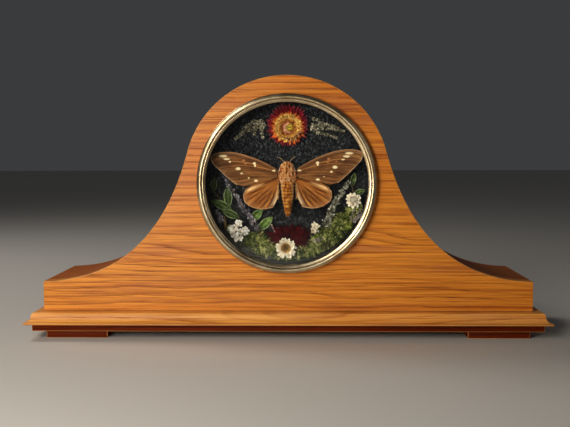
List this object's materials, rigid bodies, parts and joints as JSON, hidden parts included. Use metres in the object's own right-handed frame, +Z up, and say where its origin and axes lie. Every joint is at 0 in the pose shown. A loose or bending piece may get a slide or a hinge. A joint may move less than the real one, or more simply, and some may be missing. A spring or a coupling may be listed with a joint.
{
  "type": "framed moth specimen",
  "caption": "Pinned moth with dried flowers and moss, behind a round brass-rimmed glass window in a hump-topped oak mantel case that stands on four feet.",
  "frame": {"origin": "on the ground under the middle of the case", "axes": "+Z up, the glazed front faces -Y, +X to the viewer's right"},
  "size_m": [0.481, 0.13, 0.24],
  "materials": {
    "oak_face": "satin lacquered honey oak, grain level",
    "oak_case": "satin lacquered honey oak",
    "brass": "polished, lightly aged",
    "window_glass": "clear, polished",
    "liner_card": "matt black",
    "rough_backdrop": "matt blue-black, coarse cleft surface",
    "moth_fur": "orange-brown fur with cream lines",
    "forewing": "brown scales with cream spots",
    "hindwing": "tan scales with dark streaks",
    "pin_steel": "bright wire",
    "strawflower": "papery bracts, crimson outside, gold inside",
    "crimson_petal": "dry, dark red",
    "everlasting": "papery cream white",
    "seed_head": "dry grey-cream buds",
    "leaf": "dried green leaf, slight gloss",
    "lavender": "dry grey-violet florets",
    "moss": "preserved green moss",
    "twig": "thin dry stick"
  },
  "bodies": {
    "root": {"back_board": "oak_case", "back_screw_1": "brass", "back_screw_2": "brass", "back_screw_3": "brass", "back_screw_4": "brass", "back_screw_5": "brass", "back_screw_6": "brass", "back_screw_7": "brass", "backdrop": "rough_backdrop", "base_board": "oak_case", "base_moulding": "oak_face", "bent_top": "oak_case", "bezel": "brass", "crimson_flower": "crimson_petal", "everlasting_cluster": "everlasting", "everlasting_middle": "everlasting", "everlasting_right": "everlasting", "everlasting_small": "everlasting", "foot_back_left": "oak_case", "foot_back_right": "oak_case", "foot_front_left": "oak_case", "foot_front_right": "oak_case", "forewing_left": "forewing", "forewing_right": "forewing", "front_board": "oak_face", "glass": "window_glass", "hindwing_left": "hindwing", "hindwing_right": "hindwing", "lavender_bits": "lavender", "lavender_left": "lavender", "lavender_low": "lavender", "lavender_right": "lavender", "leaf_pair_low": "leaf", "leaf_sprig_left": "leaf", "leaf_sprig_right": "leaf", "liner": "liner_card", "moss_bed": "moss", "moth_body": "moth_fur", "moth_pin": "pin_steel", "seed_sprig_left": "seed_head", "seed_sprig_right": "seed_head", "seed_twig_right": "seed_head", "strawflower": "strawflower", "twig_brown": "twig", "twig_pale": "twig"}
  },
  "joints": []
}
